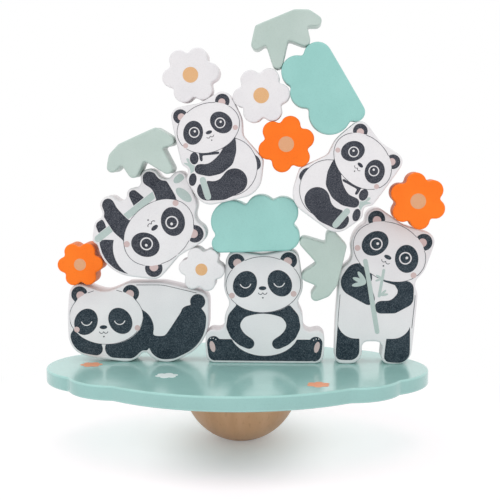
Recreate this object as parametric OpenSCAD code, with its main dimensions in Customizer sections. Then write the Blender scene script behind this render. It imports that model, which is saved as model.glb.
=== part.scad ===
// Wooden stacking balance game: a cloud-shaped board on a half ball, with a stack of
// loose, flat, painted blocks. Millimetres, +Z up, +Y away from the viewer.
// The origin is the middle of the small flat that the half ball stands on.

/* [Board] */
// Length of the board, tip to tip
board_len = 247; // [236:1:260]
// Depth of the board, front lobe to back lobe
board_deep = 170; // [162:2:178]
// Thickness of the board
board_t = 9.3; // [8:0.1:12]
// Radius of the long front and back lobes
front_lobe_r = 118; // [112:1:124]
// Radius of the four corner lobes
corner_lobe_r = 34.5; // [33:0.5:36]
// Distance of a corner lobe's middle from the board's, along its length
corner_lobe_x = 70; // [68:0.5:72]
// Distance of a corner lobe's middle from the board's, across it
corner_lobe_y = 26.5; // [25:0.5:28]
// Radius of the two end lobes
end_lobe_r = 46; // [43:1:49]
// Radius of the hollows between the board's lobes
board_hollow_r = 3; // [1.5:0.5:5]
// How far the board's middle lies in front of the half ball's axis
board_forward = 5; // [3:0.5:6]
// How far the board's middle lies to the left of the half ball's axis
board_left = 2.5; // [1:0.5:4]

/* [Half ball] */
// Radius of the half ball
ball_r = 37.5; // [35:0.5:42]
// How far the middle of its sphere lies below the board
ball_drop = 3; // [0:0.5:5]
// Radius of the flat it stands on
foot_r = 10; // [8:0.5:12]
// Diameter of the dowel that fixes it to the board
dowel_d = 10; // [6:0.5:14]
// Depth of the dowel's hole in the board
dowel_in_board = 6; // [4:0.5:7]
// Depth of the dowel's hole in the half ball
dowel_in_ball = 16; // [10:1:22]
// Glue space round and past the dowel
dowel_room = 0.1; // [0.05:0.05:0.3]

/* [Blocks] */
// Thickness of every block
block_t = 20; // [16:1:24]
// Width of the eased edge round each block and round the board
ease = 0.8; // [0.4:0.1:1.2]
// Gap left where one piece rests on another
touch = 0.1; // [0.05:0.05:0.3]
// Thickness of the printed ink
ink_t = 0.1; // [0.1:0.05:0.3]
// White margin between a printed figure and the edge of its block
margin = 1.5; // [1:0.25:2.5]
// How far behind the axis the middle of the bottom row stands
bottom_row_back = 14; // [10:1:16]
// How far behind the axis the middle of the second row stands
second_row_back = 7; // [4:1:10]
// How far behind the axis the middle of the upper rows stands
upper_row_back = -1; // [-4:1:4]

/* [Panda heads] */
// Width of a large head
head_w = 48.5; // [44:0.5:52]
// Height of a large head
head_h = 36.5; // [34:0.5:40]
// Radius of a large ear
ear_r = 5.5; // [4.5:0.25:6.5]
// Sideways place of a large ear
ear_x = 17; // [15:0.5:19]
// Height of a large ear's centre above the head's centre
ear_y = 15.3; // [13:0.5:17]
// Sideways place of a large eye patch
patch_x = 11.4; // [10:0.2:12.4]
// Half length of a large eye patch
patch_long = 9.1; // [8:0.2:10]
// Half width of a large eye patch
patch_wide = 7.5; // [6.4:0.1:8.4]
// Outer radius of the white ring in an open eye
ring_r = 4.1; // [3.6:0.1:4.8]
// Radius of a cheek spot
cheek_r = 1.9; // [1.4:0.1:2.4]
// Size of a climbing panda's head against a large one
climber_size = 0.83; // [0.78:0.01:0.88]

/* [Flowers] */
// Radius of a large flower's petal
petal_r = 6.4; // [5.8:0.1:7]
// Distance of a large flower's petal from its middle
petal_reach = 11.7; // [10.8:0.1:12.6]
// Radius of a small flower's petal
small_petal_r = 5.2; // [4.8:0.1:5.8]
// Distance of a small flower's petal from its middle
small_petal_reach = 9.7; // [9:0.1:10.4]
// Radius of the hollows between petals
petal_hollow_r = 1.6; // [1:0.1:2.2]
// Radius of a large flower's printed middle
middle_r = 4.9; // [4:0.1:6]
// Radius of a small flower's printed middle
small_middle_r = 3.9; // [3:0.1:4.8]

/* [Clouds and leaves] */
// Width of a cloud along its flat side
cloud_w = 57; // [54:1:60]
// Radius of the hollows between a cloud's lobes
cloud_hollow_r = 1.5; // [1:0.1:2.5]
// Length of a leaf bunch's straight edge
leaf_edge = 30; // [28:1:32]
// Radius of a leaf tip
leaf_tip_r = 3.3; // [2.8:0.1:3.8]
// Radius of the hollows between leaves
leaf_hollow_r = 1; // [0.8:0.1:1.4]

/* [Hidden] */

white = [0.88, 0.89, 0.91];
ink = [0.17, 0.2, 0.24];
blush = [0.86, 0.71, 0.7];
bamboo = [0.67, 0.78, 0.74];
sage = [0.72, 0.8, 0.77];
mint = [0.58, 0.8, 0.77];
orange = [1, 0.47, 0.16];
tan = [0.9, 0.72, 0.5];
beech = [0.64, 0.51, 0.4];

// Largest distance between a drawn arc and the true one
arc_error = 0.12;
// Steps round a ball, a dowel or a printed disc
round_fn = 96;

// OUTLINES
// An outline is a list of circles [x, y, r] walked anticlockwise. A positive circle is a lobe
// that the edge goes round, a negative one is a hollow, and straight tangents join them.
// An entry with one number, [f], is a hollow of radius f that touches both neighbours.

function turned(p, a) = [p.x * cos(a) - p.y * sin(a), p.x * sin(a) + p.y * cos(a)];

function hollow_at(a, b, f) =
    let (d = [b.x - a.x, b.y - a.y], gap = norm(d), u = d / gap,
         ra = a.z + f, rb = b.z + f,
         along = (ra * ra - rb * rb + gap * gap) / (2 * gap),
         aside = sqrt(max(0, ra * ra - along * along)))
    [a.x + along * u.x + aside * u.y, a.y + along * u.y - aside * u.x, -f];

function full(list) =
    let (n = len(list))
    [for (i = [0:n - 1]) len(list[i]) == 3 ? list[i]
        : hollow_at(list[(i + n - 1) % n], list[(i + 1) % n], list[i][0])];

// Direction, in degrees, of the outward normal of the tangent from circle a to circle b
function tangent(a, b) =
    let (d = [b.x - a.x, b.y - a.y])
    atan2(d.y, d.x) - acos(max(-1, min(1, (a.z - b.z) / norm(d))));

function within(a) = a - 360 * floor(a / 360);

// Points of an outline. Its edge is moved inwards by inset, with as many points at any inset.
function edge(circles, inset = 0) =
    let (n = len(circles),
         out = [for (i = [0:n - 1]) tangent(circles[i], circles[(i + 1) % n])])
    [for (i = [0:n - 1])
        let (c = circles[i], from = out[(i + n - 1) % n],
             turn = c.z > 0 ? within(out[i] - from) : -within(from - out[i]),
             bend = abs(turn) > 359.9 ? 0 : turn,
             step = 2 * acos(max(0.3, 1 - arc_error / abs(c.z))),
             steps = ceil(abs(bend) / step),
             straight = norm([circles[(i + 1) % n].x - c.x, circles[(i + 1) % n].y - c.y])
                        - abs(c.z) - abs(circles[(i + 1) % n].z),
             last = straight < 0.02 && c.z * circles[(i + 1) % n].z < 0 ? steps - 1 : steps)
        for (k = [0:max(0, last)])
            let (a = from + (steps > 0 ? bend * k / steps : 0))
            [c.x + (c.z - inset) * cos(a), c.y + (c.z - inset) * sin(a)]];

// An outline turned by a about the vertical plane's normal, and mirrored first if flip
function posed(circles, a, flip = false) =
    let (n = len(circles))
    [for (i = [0:n - 1])
        let (c = flip ? circles[n - 1 - i] : circles[i],
             q = turned([flip ? -c.x : c.x, c.y], a))
        [q.x, q.y, c.z]];

function at(circles, x, z) = [for (c = circles) [c.x + x, c.y + z, c.z]];

function foot_of(circles) = min([for (p = edge(circles)) p.y]);

// RESTING
// rise(top, base) is how far the outline top has to move up, or down if negative, until it
// just rests on the outline base. Only contacts within reach of where top starts are counted.
reach = 14;

function edges(circles) =
    let (n = len(circles))
    [for (i = [0:n - 1])
        let (a = circles[i], b = circles[(i + 1) % n], t = tangent(a, b),
             p = [a.x + a.z * cos(t), a.y + a.z * sin(t)],
             q = [b.x + b.z * cos(t), b.y + b.z * sin(t)])
        [p, q, [cos(t), sin(t)], norm(q - p)]];

function in_arc(circles, i, d) =
    let (n = len(circles), c = circles[i],
         from = tangent(circles[(i + n - 1) % n], c), to = tangent(c, circles[(i + 1) % n]),
         a = within(from - d), sweep = within(from - to))
    a <= sweep;

function rise(top, base) =
    let (te = edges(top), be = edges(base),
         lobes = [for (t = top) if (t.z > 0) for (b = base)
             if (b.z > 0 && abs(t.x - b.x) < t.z + b.z)
                 b.y + sqrt(pow(t.z + b.z, 2) - pow(t.x - b.x, 2)) - t.y],
         bowls = [for (t = top) if (t.z > 0) for (i = [0:len(base) - 1])
             let (b = base[i], room = -b.z - t.z)
             if (b.z < 0 && room > 0 && abs(t.x - b.x) < room)
                 let (y = b.y - sqrt(room * room - pow(t.x - b.x, 2)))
                 if (in_arc(base, i, 180 + atan2(y - b.y, t.x - b.x) + 180)) y - t.y],
         arches = [for (b = base) if (b.z > 0) for (i = [0:len(top) - 1])
             let (t = top[i], room = -t.z - b.z)
             if (t.z < 0 && room > 0 && abs(t.x - b.x) < room)
                 let (y = b.y - sqrt(room * room - pow(t.x - b.x, 2)))
                 if (in_arc(top, i, atan2(b.y - y, b.x - t.x))) y - t.y],
         on_edge = [for (t = top) if (t.z > 0) for (e = be)
             if (e[2].y > 0.05 && e[3] > 0.01)
                 let (y = e[0].y + (t.z - (t.x - e[0].x) * e[2].x) / e[2].y,
                      touchx = t.x - t.z * e[2].x)
                 if (touchx > min(e[0].x, e[1].x) && touchx < max(e[0].x, e[1].x)) y - t.y],
         under_edge = [for (b = base) if (b.z > 0) for (e = te)
             if (e[2].y < -0.05 && e[3] > 0.01)
                 let (y = e[0].y + (b.z - (b.x - e[0].x) * e[2].x) / e[2].y,
                      touchx = b.x - b.z * e[2].x)
                 if (touchx > min(e[0].x, e[1].x) && touchx < max(e[0].x, e[1].x)) b.y - y],
         all = [for (h = concat(lobes, bowls, arches, on_edge, under_edge)) if (abs(h) < reach) h])
    len(all) ? max(all) : -reach;

// Height at which the outline c rests on the outlines in bases, with its origin at x
function rest_z(c, x, z, bases) = z + max([for (b = bases) rise(at(c, x, z), b)]) + touch;

// Place along X at which c rests on the left and the right outlines together
function nest_x(c, x, z, left, right, span, tries = 8) =
    tries == 0 ? x
    : let (c_at = at(c, x, z),
           more = max([for (b = left) rise(c_at, b)]) - max([for (b = right) rise(c_at, b)]))
      nest_x(c, x + (more > 0 ? span : -span) / 2, z, left, right, span / 2, tries - 1);

// SHAPES
front_y = front_lobe_r - board_deep / 2;
end_x = board_len / 2 - end_lobe_r;
board_shape = full([
    [0, front_y, front_lobe_r], [board_hollow_r],
    [corner_lobe_x, -corner_lobe_y, corner_lobe_r], [board_hollow_r],
    [end_x, 0, end_lobe_r], [board_hollow_r],
    [corner_lobe_x, corner_lobe_y, corner_lobe_r], [board_hollow_r],
    [0, -front_y, front_lobe_r], [board_hollow_r],
    [-corner_lobe_x, corner_lobe_y, corner_lobe_r], [board_hollow_r],
    [-end_x, 0, end_lobe_r], [board_hollow_r],
    [-corner_lobe_x, -corner_lobe_y, corner_lobe_r], [board_hollow_r]]);

function flower_shape(r, out) =
    full([for (k = [0:5]) each [[out * cos(60 * k), out * sin(60 * k), r], [petal_hollow_r]]]);

large_flower = flower_shape(petal_r, petal_reach);
small_flower = flower_shape(small_petal_r, small_petal_reach);

cloud_shape = full([
    [6 - cloud_w / 2, 6, 6],
    [cloud_w / 2 - 9, 9, 9], [cloud_hollow_r],
    [cloud_w / 2 - 10.5, 24.7, 10], [cloud_hollow_r],
    [4, 26.5, 10], [cloud_hollow_r],
    [13.5 - cloud_w / 2, 20, 13.5], [cloud_hollow_r]]);

// The straight edge lies on Y = 0 and the four leaves hang from it
half_edge = leaf_edge / 2;
leaves_shape = [
    [half_edge - 2.7, -2, 2],
    [2.7 - half_edge, -3, 3],
    [-half_edge - 3.2, -7.6, 5],
    [-half_edge - 8.1, -11.8, leaf_tip_r],
    [-half_edge - 2.4, -14.2, -leaf_hollow_r],
    [3 - half_edge, -20.4, leaf_tip_r],
    [-2.6, -17.8, -leaf_hollow_r],
    [9.2, -27, leaf_tip_r],
    [half_edge - 2.2, -14.8, -leaf_hollow_r],
    [half_edge + 2.1, -11.3, leaf_tip_r]];

// Lobes of a head with its ears, from the right cheek over the top to the left cheek
function head_side(k) = 0.88 * head_h * k / 2 + margin;

function head_lobe(k, a, side) =
    let (q = turned([side * (head_w * k / 2 + margin - head_side(k)), 0], a)) [q.x, q.y, head_side(k)];

function ear_lobe(k, a, side) =
    let (q = turned([side * ear_x * k, ear_y * k], a)) [q.x, q.y, ear_r * k + margin];

// Shallow dip between the ears, just above the head
dip_r = 15.5;
function ear_dip(k, a) =
    let (q = turned([0, head_h * k / 2 + margin + dip_r * k], a)) [q.x, q.y, -dip_r * k];

// Figures. The origin of each is the middle of its head.
sleeping_tilt = 2;
sleeping_shape = full([
    head_lobe(1, 0, -1), [-11, -12.2, 14.5], [12, -16.2, 13.9], [3], [39.5, -14.2, 15.9],
    [41.5, -2, 26], [60.5, 10.5, 7], [34, -9, 32], ear_lobe(1, sleeping_tilt, 1),
    ear_dip(0.85, sleeping_tilt), ear_lobe(1, sleeping_tilt, -1)]);

sitting_tilt = 2;
sitting_shape = full([
    ear_lobe(1, sitting_tilt, -1), head_lobe(1, 0, -1), [7], [-8.5, -24, 17], [5],
    [-33, -35, 5], [-32, -46.2, 5.8], [34, -46.2, 5.8], [35, -35, 5], [5],
    [9, -24, 17], [7], head_lobe(1, 0, 1), ear_lobe(1, sitting_tilt, 1),
    ear_dip(1, sitting_tilt)]);

standing_tilt = -26;
standing_shape = full([
    ear_lobe(1, standing_tilt, -1), [3], head_lobe(1, standing_tilt, -1), [8],
    [-21.5, -17.5, 11], [-20.5, -45, 14], [-30, -68.9, 5], [-25, -65.9, 8],
    [-13.2, -63, -4], [-8, -63, -4], [0.5, -68.9, 5], [5.5, -63.9, 10], [8, -29, 10.6], [7],
    head_lobe(1, standing_tilt, 1), ear_lobe(1, standing_tilt, 1),
    ear_dip(1, standing_tilt)]);

upside_tilt = -140;
upside_size = 1.03;
upside_shape = full([
    ear_lobe(upside_size, upside_tilt, -1), [7], [15, 17.5, 9.8], [13.5, 34.5, 5], [5.5],
    [-5.5, 35, 6], [4], [-16, 24.3, 4.5], [4], [-32, 17.5, 6], [4], [-37, 4, 5],
    [-40, -4.5, 3.2], [3], [-16, -5, 24], ear_lobe(upside_size, upside_tilt, 1),
    ear_dip(upside_size, upside_tilt)]);

climber_tilt = 20;
climber_shape = full([
    ear_lobe(climber_size, climber_tilt, -1), [-10, -0.5, 12], [-13, -20.5, 4.5], [3.5],
    [-9.5, -32, 4.5], [1.5, -37.5, 11], [20, -30.5, 13.6], [29.6, -21.5, 5], [27, -2.5, -5.5],
    head_lobe(climber_size, climber_tilt, 1), ear_lobe(climber_size, climber_tilt, 1),
    ear_dip(climber_size, climber_tilt)]);

// PLACES
// Each block has a chosen place along X, a chosen turn and a height near its own. It is then
// let down, or slid between two neighbours, until it rests.
ball_h = ball_drop + sqrt(ball_r * ball_r - foot_r * foot_r);
board_top = ball_h + board_t;

sleeping_x = -89;
sleeping_z = board_top - foot_of(sleeping_shape) + touch;
sleeping_at = at(sleeping_shape, sleeping_x, sleeping_z);

sitting_x = 14.5;
sitting_z = board_top - foot_of(sitting_shape) + touch;
sitting_at = at(sitting_shape, sitting_x, sitting_z);

standing_x = 96.2;
standing_z = board_top - foot_of(standing_shape) + touch;
standing_at = at(standing_shape, standing_x, standing_z);

// The lower cloud lies across the sitting panda's ears, so they give its slope
left_ear = ear_lobe(1, sitting_tilt, -1);
right_ear = ear_lobe(1, sitting_tilt, 1);
cloud_low_turn = atan2(right_ear.y - left_ear.y, right_ear.x - left_ear.x);
cloud_low_posed = posed(cloud_shape, cloud_low_turn);
cloud_low_x = 10;
cloud_low_z = rest_z(cloud_low_posed, cloud_low_x, sitting_z + ear_y + ear_r, [sitting_at]);
cloud_low_at = at(cloud_low_posed, cloud_low_x, cloud_low_z);

white_small_posed = posed(small_flower, -7);
white_small_z0 = sleeping_z + 33;
white_small_x = nest_x(white_small_posed, -24.5, white_small_z0, [sleeping_at], [sitting_at], 6);
white_small_z = rest_z(white_small_posed, white_small_x, white_small_z0, [sleeping_at, sitting_at]);
white_small_at = at(white_small_posed, white_small_x, white_small_z);

upside_x = sleeping_x + 36;
upside_z = rest_z(upside_shape, upside_x, sleeping_z + 57, [sleeping_at, white_small_at]);
upside_at = at(upside_shape, upside_x, upside_z);

orange_small_posed = posed(small_flower, 2);
orange_small_x = sleeping_x - 15.5;
orange_small_z = rest_z(orange_small_posed, orange_small_x, sleeping_z + 36, [sleeping_at]);

leaves_middle_posed = posed(leaves_shape, -103, true);
leaves_middle_z0 = sitting_z + 14.5;
leaves_middle_x = nest_x(leaves_middle_posed, 65.5, leaves_middle_z0, [sitting_at], [standing_at], 8);
leaves_middle_z = rest_z(leaves_middle_posed, leaves_middle_x, leaves_middle_z0,
                         [sitting_at, standing_at]);
leaves_middle_at = at(leaves_middle_posed, leaves_middle_x, leaves_middle_z);

climber_left_z0 = cloud_low_z + 78;
climber_left_x = nest_x(climber_shape, -19, climber_left_z0, [upside_at], [cloud_low_at], 8);
climber_left_z = rest_z(climber_shape, climber_left_x, climber_left_z0, [upside_at, cloud_low_at]);
climber_left_at = at(climber_shape, climber_left_x, climber_left_z);

climber_right_posed = posed(climber_shape, -23, true);
climber_right_z0 = cloud_low_z + 60;
climber_right_x = nest_x(climber_right_posed, 77.5, climber_right_z0, [cloud_low_at],
                         [leaves_middle_at, standing_at], 8);
climber_right_z = rest_z(climber_right_posed, climber_right_x, climber_right_z0,
                         [cloud_low_at, leaves_middle_at, standing_at]);
climber_right_at = at(climber_right_posed, climber_right_x, climber_right_z);

leaves_left_yaw = 3;
leaves_left_posed = [for (c = posed(leaves_shape, 24)) [c.x * cos(leaves_left_yaw), c.y, c.z]];
leaves_left_x = upside_x - 12;
leaves_left_z = max([for (side = [-1, 0, 1])
    rest_z(leaves_left_posed, leaves_left_x + side * sin(leaves_left_yaw) * block_t / 2,
           upside_z + 61, [upside_at])]);

white_left_posed = posed(large_flower, 8);
white_left_x = -31;
white_left_z = rest_z(white_left_posed, white_left_x, climber_left_z + 32, [climber_left_at]);

orange_middle_posed = posed(large_flower, 17);
orange_middle_z0 = climber_left_z - 8;
orange_middle_x = nest_x(orange_middle_posed, 32, orange_middle_z0, [climber_left_at],
                         [climber_right_at], 8);
orange_middle_z = rest_z(orange_middle_posed, orange_middle_x, orange_middle_z0,
                         [climber_left_at, climber_right_at]);
orange_middle_at = at(orange_middle_posed, orange_middle_x, orange_middle_z);

white_right_posed = posed(large_flower, 5);
white_right_z0 = climber_left_z + 22;
white_right_x = nest_x(white_right_posed, 13, white_right_z0, [climber_left_at],
                       [orange_middle_at], 8);
white_right_z = rest_z(white_right_posed, white_right_x, white_right_z0,
                       [climber_left_at, orange_middle_at]);
white_right_at = at(white_right_posed, white_right_x, white_right_z);

orange_right_posed = posed(large_flower, 36);
orange_right_x = standing_x + 16.3;
orange_right_z = rest_z(orange_right_posed, orange_right_x, standing_z + 33.5, [standing_at]);

cloud_high_posed = posed(cloud_shape, 120.6);
cloud_high_z0 = climber_right_z + 54;
cloud_high_x = nest_x(cloud_high_posed, 69, cloud_high_z0, [orange_middle_at, white_right_at],
                      [climber_right_at], 10);
cloud_high_z = rest_z(cloud_high_posed, cloud_high_x, cloud_high_z0,
                      [orange_middle_at, white_right_at, climber_right_at]);
cloud_high_at = at(cloud_high_posed, cloud_high_x, cloud_high_z);

leaves_top_posed = posed(leaves_shape, 22, true);
leaves_top_x = 22;
leaves_top_z = rest_z(leaves_top_posed, leaves_top_x, cloud_high_z + 36,
                      [cloud_high_at, white_right_at]);

// BUILDING BLOCKS
// Twice the area of the triangle a, b, c, positive if it is walked anticlockwise
function area2(a, b, c) = (b.x - a.x) * (c.y - a.y) - (b.y - a.y) * (c.x - a.x);

// Whether the corner of a ring at place i of the numbers left can be cut off as a triangle
function is_ear(ring, left, i) =
    let (n = len(left), h = left[(i + n - 1) % n], j = left[i], k = left[(i + 1) % n])
    area2(ring[h], ring[j], ring[k]) > 0.0001
    && len([for (m = left)
        if (m != h && m != j && m != k && area2(ring[h], ring[j], ring[m]) >= 0
            && area2(ring[j], ring[k], ring[m]) >= 0 && area2(ring[k], ring[h], ring[m]) >= 0)
        m]) == 0;

// Triangles that fill a ring. Going round it, every corner that can be is cut off.
function filled(ring, left, i = 0, done = []) =
    let (n = len(left), p = i % n)
    n == 3 ? concat(done, [left])
    : is_ear(ring, left, p)
        ? filled(ring, [for (j = [0:n - 1]) if (j != p) left[j]], p + 1,
                 concat(done, [[left[(p + n - 1) % n], left[p], left[(p + 1) % n]]]))
        : filled(ring, left, p + 1, done);

// Solid between two levels along Z, with both rims eased
module slab(circles, low, high) {
    levels = [[low, ease], [low + ease, 0], [high - ease, 0], [high, ease]];
    rings = [for (l = levels) [for (p = edge(circles, l[1])) [p.x, p.y, l[0]]]];
    n = len(rings[0]);
    faces = filled(rings[0], [for (i = [0:n - 1]) i]);
    polyhedron(
        points = [for (r = rings) each r],
        faces = concat(
            faces,
            [for (k = [0:2]) for (i = [0:n - 1]) each [
                [k * n + i, (k + 1) * n + i, (k + 1) * n + (i + 1) % n],
                [k * n + i, (k + 1) * n + (i + 1) % n, k * n + (i + 1) % n]]],
            [for (f = faces) [3 * n + f[2], 3 * n + f[1], 3 * n + f[0]]]));
}

// Stands what is drawn flat up, with its origin at x, y, z; away from the viewer is +Y
module stand(x, y, z, turn = 0, flip = false, yaw = 0) {
    translate([x, y, z])
        rotate([0, 0, yaw])
            rotate([90, 0, 0])
                rotate([0, 0, turn])
                    mirror([flip ? 1 : 0, 0, 0])
                        children();
}

module block(shape) {
    slab(shape, -block_t / 2, block_t / 2);
}

// Print: whatever flat shape it is given, as a film of ink on a block's front
module film() {
    translate([0, 0, block_t / 2])
        linear_extrude(height = ink_t)
            children();
}

// Keeps a print on its block's front, inside the white margin
module on_front(shape) {
    intersection() {
        polygon(edge(shape, margin));
        children();
    }
}

module oval(x, y, a, b, turn = 0) {
    steps = a < 4 ? 14 : 24;
    polygon([for (i = [0:steps - 1])
        [x, y] + turned([a * cos(360 * i / steps), b * sin(360 * i / steps)], turn)]);
}

module blob(circles) {
    polygon(edge(full(circles)));
}

// A limb is drawn as a chain of tapered pieces along a list of circles
module limb(path) {
    for (i = [0:len(path) - 2])
        blob([path[i], path[i + 1]]);
}

module disc(x, y, r) {
    translate([x, y])
        circle(r = r, $fn = r < 2 ? 12 : 28);
}

module head_oval(k, grow = 0) {
    oval(0, 0, head_w * k / 2 + grow, head_h * k / 2 + grow);
}

// Face and ears in dark ink. k is the head's size, shift moves the face on the head.
line_t = 0.32;
module head_ink(k, shift, open, nose_drop) {
    for (s = [-1, 1]) {
        difference() {
            disc(s * ear_x * k, ear_y * k, ear_r * k);
            head_oval(k, line_t);
            disc(s * (ear_x - 0.6) * k, (ear_y - 0.6) * k, 0.5 * ear_r * k);
        }
        difference() {
            oval(s * patch_x * k + shift.x, shift.y, patch_long * k, patch_wide * k, 90 - s * -30);
            if (open) {
                difference() {
                    disc(s * (patch_x - 0.9) * k + shift.x, shift.y, ring_r * k);
                    disc(s * (patch_x - 0.9) * k + shift.x, shift.y, (ring_r - 0.85) * k);
                }
                disc(s * (patch_x - 0.9) * k + shift.x + 0.7 * k, shift.y + 0.6 * k, 0.9 * k);
            } else {
                difference() {
                    disc(s * (patch_x - 0.4) * k + shift.x, shift.y + 1.2 * k, 3.9 * k);
                    disc(s * (patch_x - 0.4) * k + shift.x, shift.y + 1.2 * k, 3.25 * k);
                    translate([s * (patch_x - 0.4) * k + shift.x - 5 * k, shift.y + 0.2 * k])
                        square([10 * k, 6 * k]);
                }
            }
        }
    }
    oval(shift.x, shift.y - nose_drop * k, 2.5 * k, 1.3 * k);
    for (s = [-1, 1])
        difference() {
            disc(s * 1.45 * k + shift.x, shift.y - (nose_drop + 2.7) * k, 1.6 * k);
            disc(s * 1.45 * k + shift.x, shift.y - (nose_drop + 2.7) * k, 1.2 * k);
            translate([s * 1.45 * k + shift.x - 2 * k, shift.y - (nose_drop + 2.9) * k])
                square([4 * k, 3 * k]);
        }
    disc(shift.x, shift.y - (nose_drop + 6.3) * k, 0.5 * k);
    difference() {
        head_oval(k, line_t);
        head_oval(k);
        for (s = [-1, 1])
            disc(s * ear_x * k, ear_y * k, ear_r * k);
    }
}

// Inner ears and cheeks
module head_blush(k, shift) {
    for (s = [-1, 1]) {
        difference() {
            disc(s * (ear_x - 0.6) * k, (ear_y - 0.6) * k, 0.5 * ear_r * k);
            head_oval(k, line_t);
        }
        disc(s * 20.2 * k + shift.x, shift.y - 7.2 * k, cheek_r * k);
    }
}

// Thin line just inside the margin of a figure, where it is white
module body_line(shape) {
    difference() {
        polygon(edge(shape, margin));
        polygon(edge(shape, margin + line_t));
    }
}

// PRINTED FIGURES
module sleeping_ink() {
    shift = [-2.2, -3];
    rotate([0, 0, sleeping_tilt])
        head_ink(1, shift, false, 3.9);
    difference() {
        union() {
            blob([[-15.5, -15.3, 9], [-7, -21.5, 4.5]]);
            blob([[5.3, -21, 6.4], [16, -14, 13.8], [17.5, -7.5, 13.9]]);
            difference() {
                intersection() {
                    limb([[38.5, -17.5, 10.6], [50.5, -13, 14], [56.5, -1.5, 9.7]]);
                    polygon(edge(sleeping_shape, margin));
                }
                blob([[33.5, -7.6, 4.9], [36.8, -8.9, 3.7], [46.5, 5.5, 3.5], [34, 8, 6]]);
            }
            disc(60.5, 10.5, 5);
        }
        head_oval(1, line_t);
    }
    difference() {
        intersection() {
            body_line(sleeping_shape);
            translate([20, 10])
                square([40, 20]);
        }
        rotate([0, 0, sleeping_tilt])
            disc(ear_x, ear_y, ear_r);
        disc(60.5, 10.5, 5);
    }
}

module sitting_pads() {
    oval(-33.4, -41.2, 1.7, 3.8, 14);
    oval(35.2, -41.2, 1.7, 3.8, -14);
}

module sitting_ink() {
    rotate([0, 0, sitting_tilt])
        head_ink(1, [-0.6, 0.6], false, 2.9);
    difference() {
        union() {
            difference() {
                union() {
                    blob([[-29, -41, 4.8], [-30, -45.9, 4.6], [31, -45.9, 4.6], [30, -41, 4.8]]);
                    blob([[-32.6, -38.6, 4.4], [-31.6, -46, 4.6]]);
                    blob([[34.4, -38.6, 4.4], [33.4, -46, 4.6]]);
                }
                oval(0.7, -30.6, 22.8, 16.6);
            }
            for (s = [-1, 1])
                limb([[0, -15.5, 3.6], [s * 13.5, -16.5, 5], [s * 18.6, -22, 4.7],
                      [s * 19.8, -27.6, 4.5], [s * 17.6, -32.8, 4.4], [s * 14, -36.4, 4.1],
                      [s * 9.4, -39, 3.6]]);
        }
        head_oval(1, line_t);
        sitting_pads();
        for (s = [-1, 1], k = [-1, 0, 1])
            disc(0.9 + s * 33.8 + 1.7 * k, -35.7 + 0.4 * (s * k - abs(k)), 0.38);
    }
}

module sleeping_blush() {
    rotate([0, 0, sleeping_tilt])
        head_blush(1, [0.2, -0.8]);
}

module sitting_blush() {
    rotate([0, 0, sitting_tilt])
        head_blush(1, [-0.6, 0.6]);
    sitting_pads();
}

module standing_blush() {
    rotate([0, 0, standing_tilt])
        head_blush(1, [0.6, 0.4]);
}

module standing_stems(grow = 0) {
    blob([[-15.5, -6, 1.5 + grow], [-7.3, -52.5, 1.5 + grow]]);
    blob([[-3.5, -12, 0.9 + grow], [-6.3, -29, 0.9 + grow]]);
}

module leaf_tuft(x, y, size, angles) {
    for (a = angles)
        oval(x + size * cos(a), y + size * sin(a), size, 0.3 * size, a);
}

module standing_bamboo() {
    standing_stems();
    difference() {
        union() {
            leaf_tuft(-15, -20.5, 4.6, [125, 158, -170]);
            leaf_tuft(-4.5, -17.5, 2.4, [150, 200]);
            leaf_tuft(-5.5, -28.5, 2.6, [10, 45]);
        }
        standing_stems();
    }
}

module standing_ink() {
    difference() {
        union() {
            rotate([0, 0, standing_tilt])
                head_ink(1, [0.6, 0.8], true, 4.4);
            difference() {
                union() {
                    limb([[-20, -16.5, 9], [-22, -20, 9.3], [-13, -31, 3.9]]);
                    limb([[-5, -36.3, 4.1], [3, -35.8, 4.5], [10.3, -30.5, 5.6], [11, -24, 5]]);
                    limb([[11, -24, 5], [5, -20, 2], [-3, -18.6, 0.9]]);
                    difference() {
                        union() {
                            blob([[-26, -47, 7], [-30.8, -67.8, 3.4], [-25, -65.2, 6.2]]);
                            blob([[6.9, -47, 7], [1, -69, 3.6], [6.7, -65.6, 7.3]]);
                        }
                        blob([[-21.3, -45, 12.1], [2.6, -45, 12.1]]);
                    }
                    intersection() {
                        body_line(standing_shape);
                        translate([-40, -50])
                            square([70, 22]);
                    }
                }
                rotate([0, 0, standing_tilt])
                    head_oval(1, line_t);
            }
        }
        standing_bamboo();
    }
}

module upside_blush() {
    rotate([0, 0, upside_tilt])
        head_blush(upside_size, [0, 0]);
}

module upside_cane(grow = 0) {
    blob([[-39.5, -4.3, 2.2 + grow], [-2.3, 24.7, 2.2 + grow]]);
}

module upside_limbs(grow = 0) {
    limb([[-5.8, 34.7, 4.6 + grow], [0.5, 31, 5.4 + grow], [5.5, 21, 6.2 + grow]]);
    limb([[-32.7, 17.8, 4.1 + grow], [-30.8, 12.3, 5.2 + grow], [-24.3, 4, 6.2 + grow],
          [-18, -1, 6.5 + grow]]);
}

module upside_bamboo() {
    difference() {
        union() {
            upside_cane();
            oval(16.5, 24.3, 6.2, 3, -40);
            oval(13.7, 35, 4.4, 2.4, 38);
        }
        upside_limbs(line_t);
        rotate([0, 0, upside_tilt])
            head_oval(upside_size, line_t);
    }
}

module upside_ink() {
    rotate([0, 0, upside_tilt])
        head_ink(upside_size, [0, 0.6], true, 4.4);
    difference() {
        union() {
            upside_limbs();
            difference() {
                union() {
                    limb([[-16, 24.3, 3], [-12, 19, 4.4]]);
                    limb([[-38, 5.4, 3], [-36.5, 1.5, 3]]);
                    difference() {
                        disc(-16, -5, 22.5);
                        disc(-10, -10, 19.8);
                        translate([-40, -5])
                            square([50, 30]);
                    }
                }
                upside_limbs(line_t);
                upside_cane(line_t);
            }
        }
        rotate([0, 0, upside_tilt])
            head_oval(upside_size, line_t);
    }
}

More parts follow.
